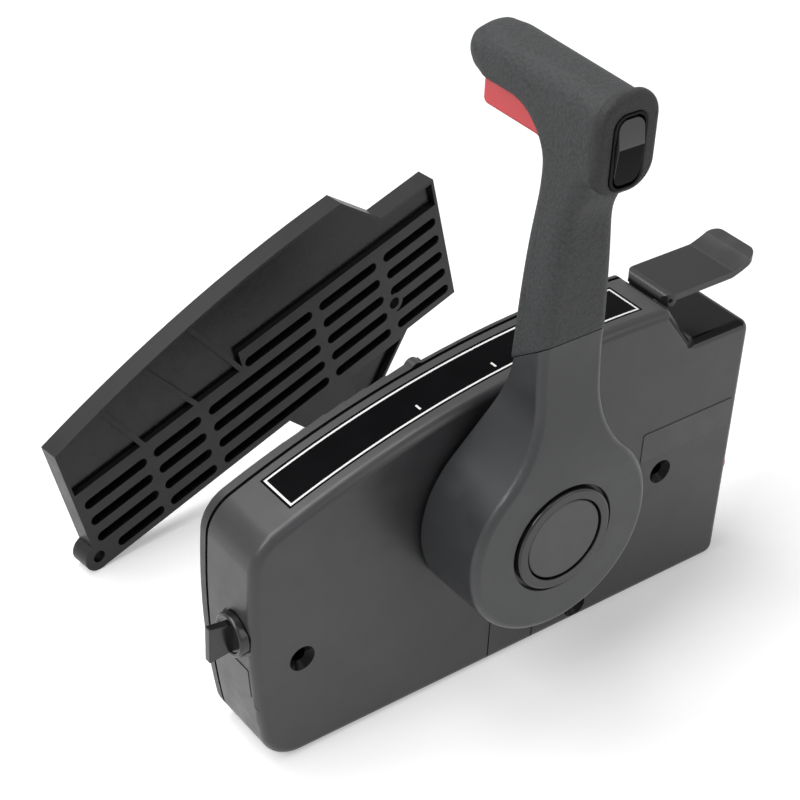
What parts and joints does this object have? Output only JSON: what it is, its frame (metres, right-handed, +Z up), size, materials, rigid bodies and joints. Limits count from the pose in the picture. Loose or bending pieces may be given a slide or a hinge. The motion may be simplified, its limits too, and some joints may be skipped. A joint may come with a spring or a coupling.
{
  "type": "side mount boat throttle control lever",
  "caption": "Side-mount boat throttle and shift control: moulded box, T-handled lever with lock trigger and trim rocker, fast-idle paddle, spacer plate.",
  "frame": {"origin": "on the lever's pivot axis, in the plane of the box's rear mounting face", "axes": "+Z up, +X aft along the box, +Y into the panel that the box is screwed to; the operator is on the -Y side"},
  "size_m": [0.3035, 0.25, 0.316],
  "materials": {
    "box_plastic": "satin, fine spark-eroded grain",
    "cover_plastic": "satin",
    "lever_plastic": "satin",
    "grip_rubber": "fine grained, soft touch",
    "gloss_black": "polished",
    "label_black": "glossy label with a white border line",
    "red_plastic": "satin red",
    "knob_black": "satin",
    "plate_plastic": "satin",
    "steel": "zinc plated",
    "shaft_steel": "turned",
    "brass": "machined",
    "acetal": "smooth natural acetal",
    "alloy": "die cast",
    "chrome": "bright",
    "rubber_black": "moulded rubber"
  },
  "bodies": {
    "control_box": {"front_housing": "box_plastic", "back_cover": "cover_plastic", "cover_screws": "steel", "arc_label": "label_black", "side_label": "label_black", "end_label": "label_black", "front_bush": "acetal", "rear_bush": "acetal", "mechanism_frame": "steel", "frame_screws": "steel", "shift_stud": "shaft_steel", "throttle_stud": "shaft_steel", "detent_roller": "steel", "detent_spring": "steel", "neutral_switch": "knob_black", "friction_shoe": "rubber_black", "friction_nut": "brass", "key_switch_body": "knob_black", "key_switch_nut": "chrome", "stop_switch_body": "knob_black", "stop_switch_nut": "knob_black", "cable_clamp": "alloy", "harness_grommet": "rubber_black", "idle_bracket": "knob_black", "idle_pin": "steel", "spacer_plate": "plate_plastic"},
    "lever": {"lever_hub": "lever_plastic", "hub_ring": "gloss_black", "button_spring": "steel", "lever_shaft": "shaft_steel", "lever_bolt": "steel", "lever_core": "alloy", "lever_grip": "grip_rubber", "grip_end_cap": "grip_rubber", "rocker_bezel": "gloss_black", "rocker_switch_body": "knob_black", "drive_gear": "steel"},
    "throttle_button": {"throttle_only_button": "knob_black"},
    "rocker": {"trim_rocker": "gloss_black"},
    "lock_trigger": {"neutral_lock_trigger": "red_plastic", "lock_rod": "steel"},
    "shift": {"shift_crank": "steel"},
    "throttle": {"throttle_crank": "steel"},
    "friction_adjuster": {"friction_knob": "knob_black", "friction_spindle": "shaft_steel"},
    "fast_idle": {"fast_idle_lever": "gloss_black"},
    "choke_push": {"choke_sleeve": "chrome"},
    "key": {"key_rotor": "chrome"},
    "stop": {"stop_button": "red_plastic"}
  },
  "joints": [
    {"name": "lever_swing", "type": "hinge", "parent": "control_box", "child": "lever", "pos_m": [0, 0, 0], "axis": [0, 1, 0], "range_deg": [-80, 60]},
    {"name": "throttle_only_push", "type": "slide", "parent": "lever", "child": "throttle_button", "axis": [0, 1, 0], "range_m": [0, 0.004], "stiffness_N_per_m": 250, "springref_m": -0.001, "deforming": ["button_spring"]},
    {"name": "trim_rock", "type": "hinge", "parent": "lever", "child": "rocker", "pos_m": [0, -0.0856, 0.1915], "axis": [1, 0, 0], "range_deg": [-5, 5], "stiffness_Nm_per_rad": 0.05},
    {"name": "trigger_lift", "type": "slide", "parent": "lever", "child": "lock_trigger", "axis": [0, 0, 1], "range_m": [0, 0.006], "stiffness_N_per_m": 200, "springref_m": -0.003},
    {"name": "shift_turn", "type": "hinge", "parent": "control_box", "child": "shift", "pos_m": [0.03614, 0, -0.03197], "axis": [0, 1, 0], "range_deg": [-60, 80]},
    {"name": "throttle_turn", "type": "hinge", "parent": "control_box", "child": "throttle", "pos_m": [-0.04219, 0, -0.0372], "axis": [0, 1, 0], "range_deg": [-45, 60]},
    {"name": "friction_turn", "type": "hinge", "parent": "control_box", "child": "friction_adjuster", "pos_m": [-0.132, -0.0285, -0.027], "axis": [-1, 0, 0], "range_deg": [0, 180]},
    {"name": "fast_idle_lift", "type": "hinge", "parent": "control_box", "child": "fast_idle", "pos_m": [0.096, -0.022, 0.0622], "axis": [0, -1, 0], "range_deg": [0, 35]},
    {"name": "choke_push_in", "type": "slide", "parent": "control_box", "child": "choke_push", "axis": [-1, 0, 0], "range_m": [0, 0.003], "stiffness_N_per_m": 300, "springref_m": -0.001},
    {"name": "key_turn", "type": "hinge", "parent": "choke_push", "child": "key", "pos_m": [0.15, -0.02225, 0.008], "axis": [1, 0, 0], "range_deg": [-90, 0]},
    {"name": "stop_push", "type": "slide", "parent": "control_box", "child": "stop", "axis": [-1, 0, 0], "range_m": [0, 0.0025], "stiffness_N_per_m": 300, "springref_m": -0.001}
  ],
  "couplings": [
    {"joint": "shift_turn", "follows": "lever_swing", "ratio": -1},
    {"joint": "throttle_turn", "follows": "lever_swing", "ratio": -0.75}
  ]
}
